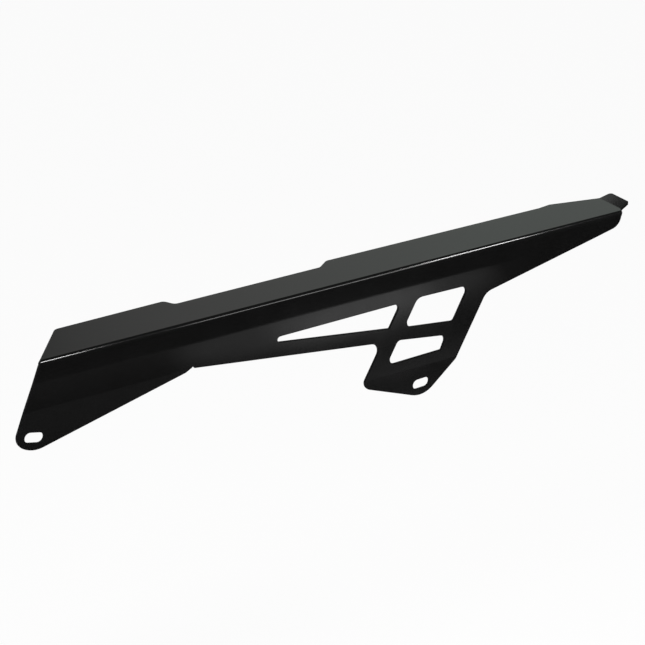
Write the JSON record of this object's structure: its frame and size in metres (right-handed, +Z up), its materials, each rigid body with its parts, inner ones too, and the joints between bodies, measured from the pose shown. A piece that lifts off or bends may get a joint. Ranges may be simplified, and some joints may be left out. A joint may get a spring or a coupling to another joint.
{
  "type": "motorcycle chain guard",
  "caption": "Folded sheet-metal chain guard: a stepped top flange over a tapering side plate with a truss of windows, slotted fixing tabs and a flicked-up tail, in black powder coat.",
  "frame": {"origin": "centre of the front fixing slot, on the inboard face of the front tab that is bolted down", "axes": "+X to the rear along the main fold, +Y inboard towards the wheel, +Z up, square to the top flange"},
  "size_m": [0.4683, 0.0383, 0.0987],
  "materials": {
    "black_powder_coat": "satin"
  },
  "bodies": {
    "root": {"chain_guard": "black_powder_coat"}
  },
  "joints": []
}
